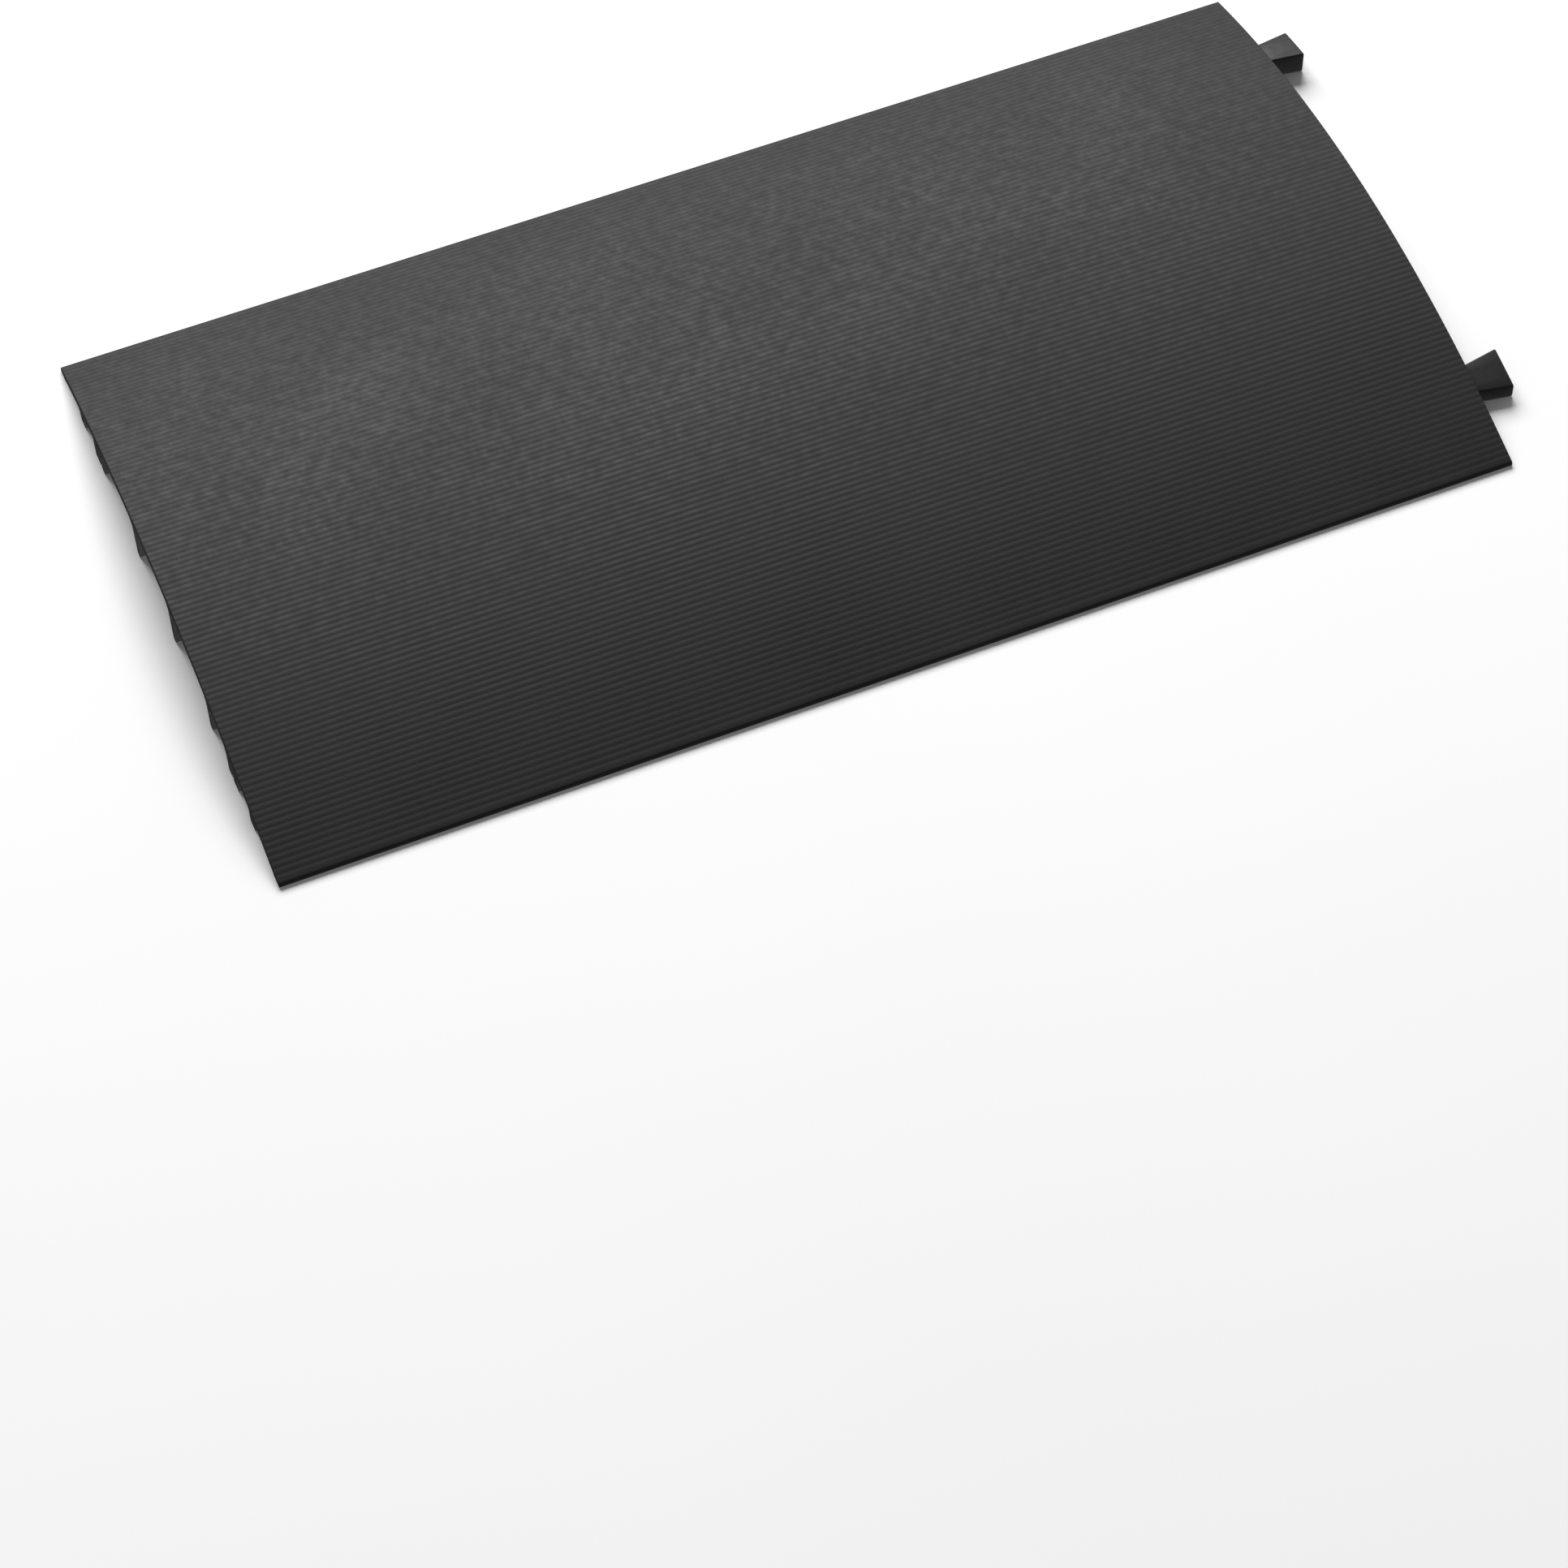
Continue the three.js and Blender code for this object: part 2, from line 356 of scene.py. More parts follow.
def add_piece(name, mesh, material, slot, *nodes):
    """Makes the mesh a piece of the ramp that stands for some CAD nodes."""
    bmesh.ops.recalc_face_normals(mesh, faces=mesh.faces[:])
    piece = add_object(name, mesh, material)
    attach(piece, "root")
    if nodes:
        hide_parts(*nodes)
    return piece


def plan_face(mesh, points):
    """A flat face on the floor with these [x, y] corners, anticlockwise."""
    return mesh.faces.new([mesh.verts.new((x, y, 0.0)) for x, y in points])


def cut_across(mesh):
    """Cuts a plan into strips across the ramp, so that it can follow the curve of the skin."""
    low = min(v.co.y for v in mesh.verts)
    high = max(v.co.y for v in mesh.verts)
    strips = max(1, math.ceil((high - low) / STRIP))
    for y in even(low, high, strips)[1:-1]:
        bmesh.ops.bisect_plane(
            mesh, geom=mesh.verts[:] + mesh.edges[:] + mesh.faces[:],
            plane_co=(0, y, 0), plane_no=(0, 1, 0), dist=TOUCH)


def outward_ways(mesh, flush):
    """The way out of the plan at each vertex of its outline, lengthened at corners so that all
    sides move out alike. Vertices on the flush ends only move along them."""
    sides = {}
    for edge in mesh.edges:
        if len(edge.link_loops) == 1:
            loop = edge.link_loops[0]
            along = loop.link_loop_next.vert.co - loop.vert.co
            side = Vector((along.y, -along.x)).normalized()
            for v in edge.verts:
                sides.setdefault(v, []).append(side)
    ways = {}
    for v, (a, b) in sides.items():
        way = (a + b) / (1 + a.dot(b))
        if any(abs(v.co.x - x) < TOUCH for x in flush):
            way = Vector((0.0, a.y + b.y))
            way.y = math.copysign(1.0, way.y) if abs(way.y) > TOUCH else 0.0
        ways[v] = way
    return ways


def extrude_on(mesh, cap, keep=False):
    """Extrudes a cap of faces, and takes the old faces away unless they close the first end."""
    made = bmesh.ops.extrude_face_region(mesh, geom=cap)
    if not keep:
        bmesh.ops.delete(mesh, geom=cap, context="FACES_KEEP_BOUNDARY")
    return made


def raise_upstand(mesh, form, tip, flush=(), narrow=None):
    """Raises the plan in mesh from its tip up to just inside the skin.

    tip gives the height of the tip at y. The ring of vertices is extruded through the rounding
    of the tip's edges, the drafted sides and the fillet under the skin. narrow(x, y) gives a
    share of the fillet's radius where there is less room for it.
    """
    way_layer = mesh.verts.layers.float_vector.new("way")
    home_layer = mesh.verts.layers.float_vector.new("home")
    ways = outward_ways(mesh, flush)
    for v in mesh.verts:
        way = ways.get(v, Vector((0.0, 0.0)))
        v[way_layer] = (way.x, way.y, 0.0)
        v[home_layer] = v.co.copy()

    def place(v, share, in_fillet):
        """share runs from 0 to 1 round the tip's edge, and then from 0 to 1 up the fillet."""
        home, way = v[home_layer], v[way_layer]
        height = under_height(home.y) - tip(home.y)
        room = narrow(home.x, home.y) if narrow else 1.0
        turn = share * math.pi / 2
        if in_fillet:
            radius = min(form.fillet * room, FILLET_LIMIT * height)
            depth = radius * (1 - math.sin(turn))
            spot = home + way * (form.draft * (height - depth) + radius * (1 - math.cos(turn)))
            spot.z = under_height(spot.y) - depth
        else:
            radius = min(form.tip_radius, TIP_LIMIT * height)
            rise = radius * (1 - math.cos(turn))
            spot = home + way * (form.draft * rise - radius * (1 - math.sin(turn)))
            spot.z = tip(home.y) + rise
        v.co = spot

    for v in mesh.verts:
        place(v, 0.0, False)
    cap = mesh.faces[:]
    tip_shares = [(i / EDGE_STEPS, False) for i in range(1, EDGE_STEPS + 1)]
    fillet_shares = [(i / FILLET_STEPS, True) for i in range(FILLET_STEPS + 1)]
    for share, in_fillet in tip_shares + fillet_shares:
        made = extrude_on(mesh, cap, keep=(share, in_fillet) == tip_shares[0])
        cap = faces_of(made)
        for v in vertices_of(made):
            place(v, share, in_fillet)
    for v in vertices_of(extrude_on(mesh, cap)):
        v.co += v[way_layer] * RUN_ON
        v.co.z = under_height(v.co.y) + SINK


def upstand_mesh(points, form, tip=lambda y: 0.0, flush=(), narrow=None):
    """A mesh with one upstand, from the [x, y] corners of its tip."""
    mesh = bmesh.new()
    plan_face(mesh, points)
    loose = [v for v in mesh.verts if not any(abs(v.co.x - x) < TOUCH for x in flush)]
    if form.corner and loose:
        bmesh.ops.bevel(
            mesh, geom=loose, offset=form.corner, offset_type="OFFSET",
            segments=CORNER_STEPS, profile=0.5, affect="VERTICES", material=-1, clamp_overlap=True)
    cut_across(mesh)
    raise_upstand(mesh, form, tip, flush, narrow)
    return mesh


# ---- Finishes ----


class Nodes:
    """Short ways to add and join the nodes of one material."""

    def __init__(self, name):
        self.material = bpy.data.materials.new(name)
        self.material.use_nodes = True
        self.tree = self.material.node_tree
        self.tree.nodes.clear()

    def add(self, kind, **values):
        node = self.tree.nodes.new(kind)
        for key, value in values.items():
            setattr(node, key, value)
        return node

    def join(self, source, target):
        self.tree.links.new(source, target)

    def noise(self, vector, scale, detail, roughness=0.5):
        node = self.add("ShaderNodeTexNoise")
        node.inputs["Scale"].default_value = scale
        node.inputs["Detail"].default_value = detail
        node.inputs["Roughness"].default_value = roughness
        self.join(vector, node.inputs["Vector"])
        return node.outputs["Fac"]

    def stretched(self, vector, scale):
        node = self.add("ShaderNodeMapping")
        node.inputs["Scale"].default_value = scale
        self.join(vector, node.inputs["Vector"])
        return node.outputs["Vector"]

    def spread(self, value, low, high, from_low=0.0, from_high=1.0):
        node = self.add("ShaderNodeMapRange")
        node.inputs["From Min"].default_value = from_low
        node.inputs["From Max"].default_value = from_high
        node.inputs["To Min"].default_value = low
        node.inputs["To Max"].default_value = high
        self.join(value, node.inputs["Value"])
        return node.outputs["Result"]

    def maths(self, operation, *values):
        node = self.add("ShaderNodeMath", operation=operation)
        for socket, value in zip(node.inputs, values):
            if isinstance(value, (int, float)):
                socket.default_value = value
            else:
                self.join(value, socket)
        return node.outputs["Value"]

    def blend(self, share, a, b):
        """Colours a and b mixed by a share. Each is a colour or another node's output."""
        node = self.add("ShaderNodeMix", data_type="RGBA")
        self.join(share, node.inputs["Factor"])
        for number, value in ((MIX_FIRST, a), (MIX_SECOND, b)):
            socket = node.inputs[number]
            if isinstance(value, bpy.types.NodeSocket):
                self.join(value, socket)
            else:
                socket.default_value = (*value, 1.0)
        return node.outputs[MIX_RESULT]

    def bump(self, height, distance, normal=None):
        node = self.add("ShaderNodeBump")
        node.inputs["Distance"].default_value = distance
        node.inputs["Strength"].default_value = 1.0
        self.join(height, node.inputs["Height"])
        if normal:
            self.join(normal, node.inputs["Normal"])
        return node.outputs["Normal"]


def shade(colour, factor):
    return tuple(c * factor for c in colour)


def rubber(name, colour, finish, satin, ribbed):
    """Moulded black rubber: clouded colour, pale bloom in patches, grain, and scuffs.

    satin is its roughness where it is smoothest. A ribbed surface reads how close to a rib's
    crest a point is from its mesh, and is smoother there; its crests are painted a little paler, a
    painted highlight that leaves the grooves darker.
    """
    n = Nodes(name)
    place = n.add("ShaderNodeTexCoord").outputs["Object"]
    clouds = n.noise(place, scale=9.0, detail=5.0, roughness=0.55)
    mottle = n.noise(place, scale=140.0, detail=3.0)
    grain = n.noise(place, scale=1.0 / finish.grain_size, detail=4.0, roughness=0.6)
    streaks = n.stretched(place, (60.0, 7.0, 60.0))
    scuffs = n.noise(streaks, scale=4.0, detail=6.0, roughness=0.7)
    patches = n.noise(place, scale=3.2, detail=6.0, roughness=0.62)

    clouded = n.spread(clouds, 0, 1, from_low=0.35, from_high=0.65)
    base = n.blend(clouded, shade(colour, 0.86), shade(colour, 1.12))
    mottled = n.spread(mottle, 0.0, 0.22, from_low=0.45, from_high=0.75)
    base = n.blend(mottled, base, shade(colour, 1.45))
    bloom = n.spread(patches, 0.0, 0.16, from_low=0.52, from_high=0.78)
    base = n.blend(bloom, base, tuple(finish.dust_colour))
    marks = n.spread(scuffs, 0.0, 0.22, from_low=0.60, from_high=0.74)
    base = n.blend(marks, base, shade(colour, 1.9))
    rough = n.spread(mottle, satin - 0.04, satin + 0.08, from_low=0.3, from_high=0.7)
    uneven = n.spread(clouds, -0.03, 0.03, from_low=0.35, from_high=0.65)
    rough = n.maths("ADD", rough, uneven)
    rough = n.maths("SUBTRACT", rough, n.maths("MULTIPLY", marks, 0.25))
    if ribbed:
        crest = n.add("ShaderNodeAttribute", attribute_name="crest").outputs["Fac"]
        # Painted highlight: the rib crests are painted paler than the grooves between them.
        base = n.blend(n.spread(crest, 0.0, 0.18), base, shade(colour, 1.30))
        rough = n.maths("ADD", rough, n.spread(crest, 0.05, -0.04))

    swells = n.noise(place, scale=26.0, detail=2.0)
    normal = n.bump(grain, finish.grain_depth)
    normal = n.bump(swells, finish.grain_depth * UNEVENNESS, normal)
    surface = n.add("ShaderNodeBsdfPrincipled")
    surface.inputs["Specular IOR Level"].default_value = SHEEN
    n.join(base, surface.inputs["Base Color"])
    n.join(rough, surface.inputs["Roughness"])
    n.join(normal, surface.inputs["Normal"])
    output = n.add("ShaderNodeOutputMaterial")
    n.join(surface.outputs["BSDF"], output.inputs["Surface"])
    return n.material


def deck_rubber(scene):
    finish = scene.ramp_finish
    made = bpy.data.materials.get("deck_rubber")
    return made or rubber("deck_rubber", finish.deck_colour, finish, DECK_SATIN, True)


def rib_rubber(scene):
    finish = scene.ramp_finish
    made = bpy.data.materials.get("rib_rubber")
    return made or rubber("rib_rubber", finish.rib_colour, finish, RIB_SATIN, False)


# ---- Deck ----


class RAMP_OT_deck(bpy.types.Operator):
    """Make the arched deck with its fine lengthwise ribs"""

    bl_idname = "cable_ramp.deck"
    bl_label = "Deck"

    def execute(self, context):
        deck = context.scene.ramp_deck
        ribbed = HALF_WIDTH - deck.rim_land
        grooves = round(2 * ribbed / deck.rib_pitch)
        pitch = 2 * ribbed / grooves
        along = between_edges(
            DECK_LOW.x, DECK_HIGH.x, deck.end_radius,
            even(DECK_LOW.x, DECK_HIGH.x, deck.bays)[1:-1])
        across = between_edges(
            -HALF_WIDTH, HALF_WIDTH, deck.rim_radius,
            even(-ribbed, ribbed, grooves * deck.rib_samples))
        mesh = bmesh.new()
        bmesh.ops.create_grid(
            mesh, x_segments=len(along) - 1, y_segments=len(across) - 1, size=1.0)
        crest_layer = mesh.verts.layers.float.new("crest")
        for v in mesh.verts:
            column = round((v.co.x + 1) / 2 * (len(along) - 1))
            row = round((v.co.y + 1) / 2 * (len(across) - 1))
            v.co = (along[column], across[row], 0.0)
        made = bmesh.ops.extrude_face_region(mesh, geom=mesh.faces[:])
        top = set(vertices_of(made))
        for v in mesh.verts:
            x, y = v.co.x, v.co.y
            end = round_off(min(x - DECK_LOW.x, DECK_HIGH.x - x), deck.end_radius)
            if v in top:
                groove = self.groove(y, ribbed, pitch)
                rim = round_off(HALF_WIDTH - abs(y), deck.rim_radius)
                v.co.z = top_height(y) - groove * deck.rib_depth - end - rim
                # The crest share also drives the painted highlight on the rib crests in the deck's
                # material.
                v[crest_layer] = 1 - groove
            else:
                v.co.z = under_height(y) + (end if under_height(y) > deck.end_radius else 0.0)
                v[crest_layer] = 0.0
        material = deck_rubber(context.scene)
        add_piece("moulded_deck", mesh, material, "deck_skin", "deck")
        return {"FINISHED"}

    @staticmethod
    def groove(y, ribbed, pitch):
        """Depth of the groove at y, from 0 on a crest to 1: narrow grooves, broad crests."""
        if abs(y) >= ribbed:
            return 0.0
        wave = 0.5 - 0.5 * math.cos(2 * math.pi * (y + ribbed) / pitch)
        return wave ** CREST_BREADTH


# ---- Walls, ribs and gussets ----


def straight_plan(low, high):
    """Corners of a rectangle, anticlockwise."""
    return [(low.x, low.y), (high.x, low.y), (high.x, high.y), (low.x, high.y)]


class RAMP_OT_walls(bpy.types.Operator):
    """Make the two channel walls and the bosses behind the back one"""

    bl_idname = "cable_ramp.walls"
    bl_label = "Channel walls"

    def execute(self, context):
        ribs = context.scene.ramp_ribs
        material = rib_rubber(context.scene)
        form = Form(ribs.tip_radius, 0.0, ribs.draft, ribs.fillet)
        for side_name, _ in SIDES:
            node = f"channel_wall_{side_name}"
            low, high = self.wall_box(node)
            mesh = upstand_mesh(straight_plan(low, high), form, flush=(low.x, high.x))
            add_piece(f"wall_{side_name}", mesh, material, "moulded_ribs", node)
        self.add_bosses(context.scene, material)
        return {"FINISHED"}

    @staticmethod
    def wall_box(node):
        """The wall's plan without its bosses: what stands on the floor."""
        points = [v.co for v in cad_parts[node].data.vertices if v.co.z < TOUCH]
        low = Vector((min(p.x for p in points), min(p.y for p in points)))
        high = Vector((max(p.x for p in points), max(p.y for p in points)))
        end_gap = Vector((END_GAP, 0.0))
        return low + end_gap, high - end_gap

    @staticmethod
    def add_bosses(scene, material):
        joins = scene.ramp_joins
        wall_low, wall_high = RAMP_OT_walls.wall_box("channel_wall_back")
        y = (wall_low.y + wall_high.y) / 2 + joins.boss_standoff
        tip = under_height(y + joins.boss_diameter / 2) - joins.boss_height
        for name, before, after, offset in BOSSES:
            low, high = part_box(before)[0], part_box(after)[1]
            x = (low.x + high.x) / 2 + offset
            mesh = bmesh.new()
            bmesh.ops.create_circle(
                mesh, cap_ends=True, segments=BOSS_SEGMENTS, radius=joins.boss_diameter / 2,
                matrix=Matrix.Translation((x, y, 0.0)))
            raise_upstand(mesh, BOSS_FORM, lambda across: tip)
            bmesh.ops.recalc_face_normals(mesh, faces=mesh.faces[:])
            mesh.faces.ensure_lookup_table()
            foot = min(mesh.faces, key=lambda f: f.calc_center_median().z)
            bmesh.ops.inset_region(mesh, faces=[foot], thickness=BOSS_LIP)
            bmesh.ops.inset_region(
                mesh, faces=[foot], thickness=DIMPLE_SLOPE, depth=-DIMPLE_DEPTH)
            add_piece(name, mesh, material, "moulded_ribs")


class RAMP_OT_ribs(bpy.types.Operator):
    """Make the staggered divider ribs between the cable lanes"""

    bl_idname = "cable_ramp.ribs"
    bl_label = "Divider ribs"

    def execute(self, context):
        ribs = context.scene.ramp_ribs
        material = rib_rubber(context.scene)
        form = Form(ribs.tip_radius, ribs.corner, ribs.draft, ribs.fillet)
        for node in sorted(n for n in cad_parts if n.startswith("divider_rib_")):
            low, high = (corner.to_2d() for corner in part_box(node))
            middle = (low.y + high.y) / 2
            low.y, high.y = middle - ribs.rib_tip / 2, middle + ribs.rib_tip / 2
            flush = []
            for corner, end, way in ((low, DECK_LOW.x, 1), (high, DECK_HIGH.x, -1)):
                if abs(corner.x - end) < TOUCH:
                    corner.x = end + way * END_GAP
                    flush.append(corner.x)
                else:
                    corner.x += way * ribs.tip_setback
            mesh = upstand_mesh(straight_plan(low, high), form, flush=flush)
            name = node.replace("divider_rib", "rib")
            add_piece(name, mesh, material, "moulded_ribs", node)
        return {"FINISHED"}


def flank_plan(low, high, side, ribs):
    """Plan of the tip of a plate that runs from a channel wall out along a flank."""
    inner = min(abs(low.y), abs(high.y)) - ribs.wall_overlap
    outer = max(abs(low.y), abs(high.y)) - ribs.gusset_runout
    across = sorted((side * inner, side * outer))
    return straight_plan(Vector((low.x, across[0])), Vector((high.x, across[1])))


def flank_tip(low, high, ribs):
    """Height of that tip at y: on the floor at the wall, and a little off it at the outer end."""
    inner, outer = sorted((abs(low.y), abs(high.y)))
    rise = max(0.0, under_height(outer - ribs.gusset_runout) - ribs.gusset_tip)

    def height(y):
        return rise * min(1.0, max(0.0, (abs(y) - inner) / (outer - inner)))
    return height


class RAMP_OT_gussets(bpy.types.Operator):
    """Make the triangular gussets of both flanks"""

    bl_idname = "cable_ramp.gussets"
    bl_label = "Gussets"

    def execute(self, context):
        ribs = context.scene.ramp_ribs
        material = rib_rubber(context.scene)
        form = Form(ribs.tip_radius, PLATE_CORNER, ribs.draft, ribs.gusset_fillet)
        for side_name, side in SIDES:
            prefix = f"gusset_{side_name}_"
            for node in sorted(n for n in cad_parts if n.startswith(prefix)):
                low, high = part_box(node)
                plan = flank_plan(low, high, side, ribs)
                mesh = upstand_mesh(plan, form, tip=flank_tip(low, high, ribs))
                name = node.replace("gusset", "flank_gusset")
                add_piece(name, mesh, material, "moulded_ribs", node)
        return {"FINISHED"}


# ---- Lugs and pockets ----


def dovetail(x, y, length, neck, head):
    """Corners of a dovetail that starts at x and widens over its length, anticlockwise."""
    return [
        (x, y - neck / 2),
        (x + length, y - head / 2),
        (x + length, y + head / 2),
        (x, y + neck / 2),
    ]


def join_middle(side_name):
    """How far off the middle of the ramp a lug and its pocket lie."""
    low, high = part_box(f"lug_pocket_{side_name}")
    return (low.y + high.y) / 2


class RAMP_OT_lug_ends(bpy.types.Operator):
    """Make the end ribs and the dovetail lugs that stand out of them"""

    bl_idname = "cable_ramp.lug_ends"
    bl_label = "Lug ends"

    def execute(self, context):
        ribs = context.scene.ramp_ribs
        joins = context.scene.ramp_joins
        material = rib_rubber(context.scene)
        form = Form(ribs.tip_radius, PLATE_CORNER, ribs.draft, ribs.gusset_fillet)
        for side_name, side in SIDES:
            node = f"lug_end_{side_name}"
            low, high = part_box(node)
            length = high.x - DECK_HIGH.x
            high.x = DECK_HIGH.x - END_GAP
            plan = flank_plan(low, high, side, ribs)
            tip = flank_tip(low, high, ribs)
            mesh = upstand_mesh(plan, form, tip=tip, flush=(high.x,))
            add_piece(f"end_rib_{side_name}", mesh, material, "moulded_ribs", node)
            mesh = self.lug_mesh(joins, join_middle(side_name), low.x, length)
            add_piece(f"lug_{side_name}", mesh, material, "moulded_ribs")
        return {"FINISHED"}

    @staticmethod
    def lug_mesh(joins, y, root, length):
        """A dovetail block whose top falls with the skin it comes out from under."""
        mesh = bmesh.new()
        root += joins.lug_edge
        neck = joins.lug_neck / 2
        corners = dovetail(DECK_HIGH.x, y, length, joins.lug_neck, joins.lug_head)
        plan_face(mesh, corners + [(root, y + neck), (root, y - neck)])
        cut_across(mesh)
        made = bmesh.ops.extrude_face_region(mesh, geom=mesh.faces[:])
        for v in vertices_of(made):
            v.co.z = under_height(v.co.y) - joins.headroom
        bmesh.ops.recalc_face_normals(mesh, faces=mesh.faces[:])
        edges = [e for e in mesh.edges if e.calc_face_angle(0.0) > SHARP_ANGLE]
        bmesh.ops.bevel(
            mesh, geom=edges, offset=joins.lug_edge, offset_type="OFFSET",
            segments=CORNER_STEPS, profile=0.5, affect="EDGES", material=-1, clamp_overlap=True)
        return mesh


class RAMP_OT_pockets(bpy.types.Operator):
    """Make the C-shaped pockets that take the next ramp's lugs"""

    bl_idname = "cable_ramp.pockets"
    bl_label = "Lug pockets"

    def execute(self, context):
        ribs = context.scene.ramp_ribs
        joins = context.scene.ramp_joins
        material = rib_rubber(context.scene)
        form = Form(ribs.tip_radius, joins.pocket_corner, ribs.draft, joins.pocket_fillet)
        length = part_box("lug_end_front")[1].x - DECK_HIGH.x + joins.clearance
        neck = joins.lug_neck + 2 * joins.clearance
        head = joins.lug_head + 2 * joins.clearance
        for side_name, _ in SIDES:
            node = f"lug_pocket_{side_name}"
            low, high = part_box(node)
            start = low.x + END_GAP
            y = join_middle(side_name)
            hollow = dovetail(start, y, length, neck, head)
            outside = straight_plan(Vector((start, low.y)), high)

            def narrow(x, across, high=high, y=y):
                inside = x < high.x - ribs.rib_tip / 2 and abs(across - y) < head / 2 + TOUCH
                return INSIDE_FILLET if inside else 1.0

            plan = outside + hollow[::-1]
            mesh = upstand_mesh(plan, form, flush=(start,), narrow=narrow)
            add_piece(f"pocket_{side_name}", mesh, material, "moulded_ribs", node)
        return {"FINISHED"}


# ---- Stage ----


class RAMP_OT_stage(bpy.types.Operator):
    """Make the pale floor, the soft studio light and the camera"""

    bl_idname = "cable_ramp.stage"
    bl_label = "Stage"

    def execute(self, context):
        stage = context.scene.ramp_stage
        self.add_floor(stage)
        self.add_sky(context.scene, stage)
        self.add_lamp("back_lamp", stage.back_light, BACK_LAMP)
        under = (
            self.add_lamp("under_lamp", stage.under_light, UNDER_LAMP),
            self.add_lamp("under_fill", stage.under_fill, UNDER_FILL))
        for lamp in under:
            lamp.visible_glossy = False
        self.add_camera(context.scene, stage)
        context.scene.view_settings.view_transform = "Standard"
        return {"FINISHED"}

    @staticmethod
    def add_floor(stage):
        """A floor that shows from above only, so that the ribs can be looked at from below. It
        lets all of the under lamps' light through under the deck, and a little round it."""
        mesh = bmesh.new()
        bmesh.ops.create_grid(
            mesh, x_segments=1, y_segments=1, size=stage.floor_size / 2,
            matrix=Matrix.Translation((0, 0, -stage.floor_gap)))
        n = Nodes("floor_white")
        place = n.add("ShaderNodeTexCoord").outputs["Object"]
        rays = n.add("ShaderNodeLightPath")
        colour = tuple(stage.floor_colour)
        clouds = n.noise(place, scale=1.5, detail=2.0)
        clouded = n.spread(clouds, 0.0, 1.0, from_low=0.3, from_high=0.7)
        seen = n.blend(clouded, shade(colour, 0.985), colour)
        paint = n.add("ShaderNodeBsdfDiffuse")
        given = n.blend(rays.outputs["Is Camera Ray"], shade(colour, stage.floor_bounce), seen)
        n.join(given, paint.inputs["Color"])
        axes = n.add("ShaderNodeSeparateXYZ")
        n.join(place, axes.inputs["Vector"])
        middle, half = (DECK_LOW + DECK_HIGH) / 2, (DECK_HIGH - DECK_LOW) / 2
        within = [
            n.maths("COMPARE", axes.outputs[name], middle[axis], half[axis])
            for axis, name in enumerate("XY")]
        window = n.spread(n.maths("MULTIPLY", *within), stage.floor_leak, 1.0)
        window = n.maths("MULTIPLY", window, rays.outputs["Is Shadow Ray"])
        below = n.add("ShaderNodeNewGeometry").outputs["Backfacing"]
        clear = n.add("ShaderNodeBsdfTransparent")
        mix = n.add("ShaderNodeMixShader")
        n.join(n.maths("MAXIMUM", below, window), mix.inputs["Fac"])
        n.join(paint.outputs["BSDF"], mix.inputs[1])
        n.join(clear.outputs["BSDF"], mix.inputs[2])
        output = n.add("ShaderNodeOutputMaterial")
        n.join(mix.outputs["Shader"], output.inputs["Surface"])
        add_object("floor", mesh, n.material)

    @staticmethod
    def add_sky(scene, stage):
        """Even soft light all round, in front of a pale backdrop."""
        sky = bpy.data.worlds.new("studio_light")
        sky.use_nodes = True
        tree = sky.node_tree
        seen = tree.nodes.new("ShaderNodeMix")
        seen.inputs["A"].default_value = stage.sky
        seen.inputs["B"].default_value = stage.backdrop
        rays = tree.nodes.new("ShaderNodeLightPath")
        tree.links.new(rays.outputs["Is Camera Ray"], seen.inputs["Factor"])
        tree.links.new(seen.outputs["Result"], tree.nodes["Background"].inputs["Strength"])
        tree.nodes["Background"].inputs["Color"].default_value = WHITE
        scene.world = sky

    @staticmethod
    def add_lamp(name, power, spec):
        """A rectangular lamp that faces the middle of the ramp and isn't seen itself."""
        lamp = bpy.data.lights.new(name, "AREA")
        lamp.shape = "RECTANGLE"
        lamp.size, lamp.size_y = spec.size
        lamp.energy = power
        made = bpy.data.objects.new(name, lamp)
        made.location = spec.place
        made.rotation_mode = "QUATERNION"
        made.rotation_quaternion = (-Vector(spec.place)).to_track_quat("-Z", "Y")
        made.visible_camera = False
        bpy.context.scene.collection.objects.link(made)
        return made

    @staticmethod
    def add_camera(scene, stage):
        turn, tilt, roll = stage.camera_turn, stage.camera_tilt, stage.camera_roll
        look = Vector((
            math.sin(turn) * math.cos(tilt), math.cos(turn) * math.cos(tilt), -math.sin(tilt)))
        level = Vector((look.y, -look.x, 0.0)).normalized()
        right = level * math.cos(roll) + level.cross(look) * math.sin(roll)
        up = right.cross(look)
        aim = Vector((DECK_LOW.x + stage.aim_from_end, DECK_LOW.y - stage.aim_before_rim, 0.0))
        camera = bpy.data.cameras.new("camera")
        camera.lens = stage.camera_lens
        camera.sensor_width = SENSOR_WIDTH
        camera.sensor_fit = "HORIZONTAL"
        camera.clip_start = NEAR_CLIP
        made = bpy.data.objects.new("camera", camera)
        axes = Matrix((right, up, -look)).transposed().to_4x4()
        made.matrix_world = Matrix.Translation(aim - look * stage.camera_distance) @ axes
        scene.collection.objects.link(made)
        scene.camera = made


# ---- Add-on ----


class RAMP_PT_panel(bpy.types.Panel):
    """Sizes, finishes and steps of the cable ramp"""

    bl_idname = "RAMP_PT_panel"
    bl_label = "Cable protector ramp"
    bl_space_type = "VIEW_3D"
    bl_region_type = "UI"
    bl_category = "Cable Ramp"

    def draw(self, context):
        for step in STEPS:
            self.layout.operator(step.bl_idname)
        for key, settings in SETTINGS.items():
            box = self.layout.box()
            for field in settings.__annotations__:
                box.prop(getattr(context.scene, key), field)


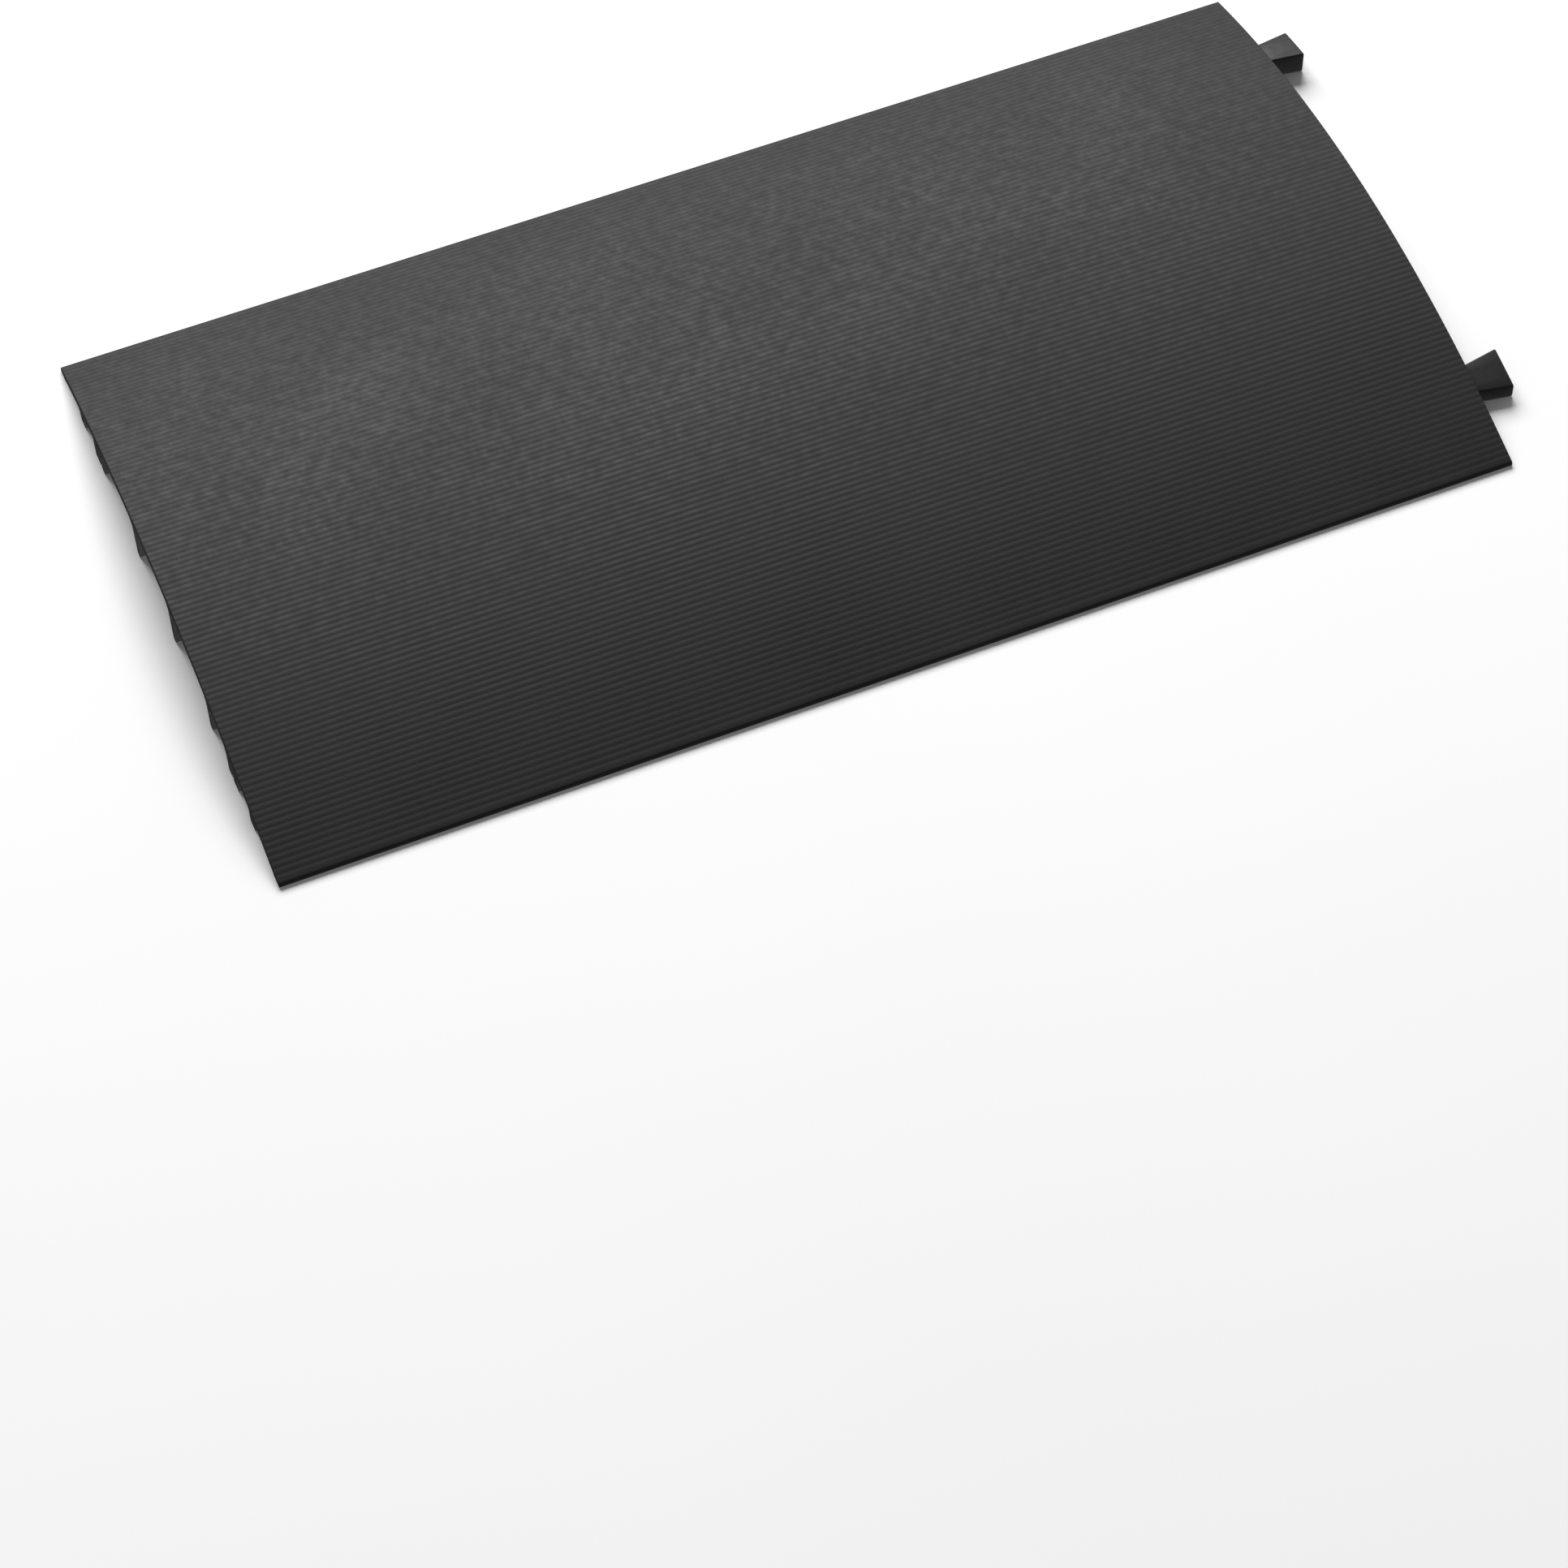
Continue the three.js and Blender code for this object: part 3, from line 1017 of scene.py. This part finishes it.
STEPS = (
    RAMP_OT_deck,
    RAMP_OT_walls,
    RAMP_OT_ribs,
    RAMP_OT_gussets,
    RAMP_OT_lug_ends,
    RAMP_OT_pockets,
    RAMP_OT_stage,
)
CLASSES = (*SETTINGS.values(), *STEPS, RAMP_PT_panel)


def register():
    for made in CLASSES:
        bpy.utils.register_class(made)
    for key, settings in SETTINGS.items():
        setattr(bpy.types.Scene, key, PointerProperty(type=settings))


def unregister():
    for key in SETTINGS:
        delattr(bpy.types.Scene, key)
    for made in reversed(CLASSES):
        bpy.utils.unregister_class(made)


def main():
    register()
    bpy.ops.cable_ramp.deck()
    bpy.ops.cable_ramp.walls()
    bpy.ops.cable_ramp.ribs()
    bpy.ops.cable_ramp.gussets()
    bpy.ops.cable_ramp.lug_ends()
    bpy.ops.cable_ramp.pockets()
    bpy.ops.cable_ramp.stage()


if __name__ == "__main__":
    main()
